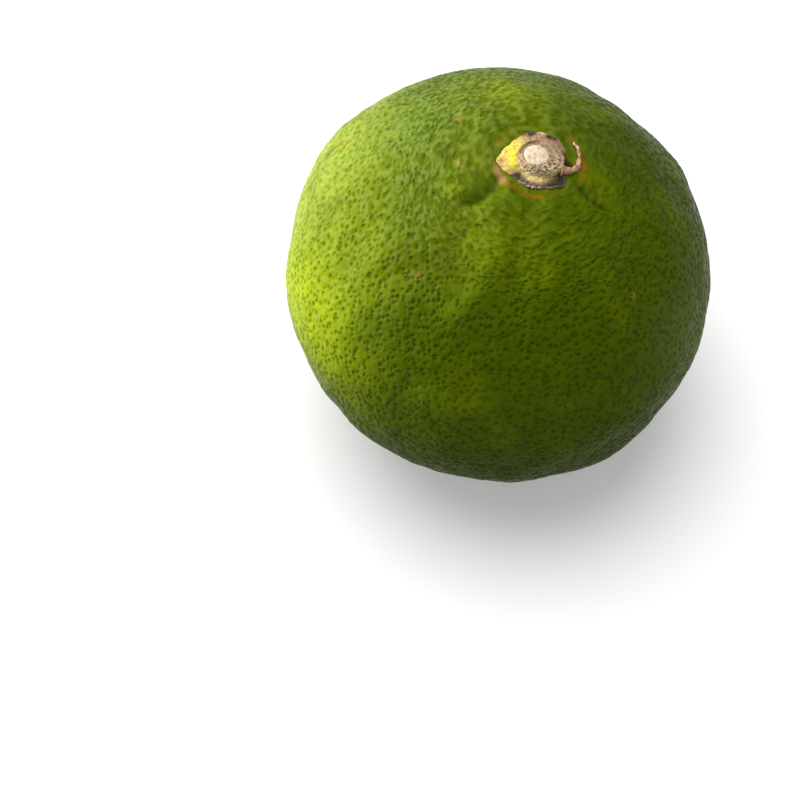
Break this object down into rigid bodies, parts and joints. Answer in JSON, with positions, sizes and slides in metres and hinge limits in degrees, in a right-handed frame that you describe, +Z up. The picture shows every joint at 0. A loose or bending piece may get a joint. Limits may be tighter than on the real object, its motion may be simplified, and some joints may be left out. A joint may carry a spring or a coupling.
{
  "type": "bergamot orange",
  "caption": "Whole green bergamot orange with pitted rind, a dried five-sepal calyx and a cut stem stub, standing on a small flat spot.",
  "frame": {"origin": "the middle of the small flat spot that the fruit stands on", "axes": "+Z up from the resting surface; the stem axis leans from +Z by 9.3 degrees towards +X; -Y is the front, the side that faces the viewer"},
  "size_m": [0.0718, 0.072, 0.0657],
  "materials": {
    "rind": "satin",
    "dried_sepal": "matte",
    "cut_wood": "matte"
  },
  "bodies": {
    "root": {"fruit": "rind", "calyx": "dried_sepal", "stem_stub": "cut_wood"}
  },
  "joints": []
}
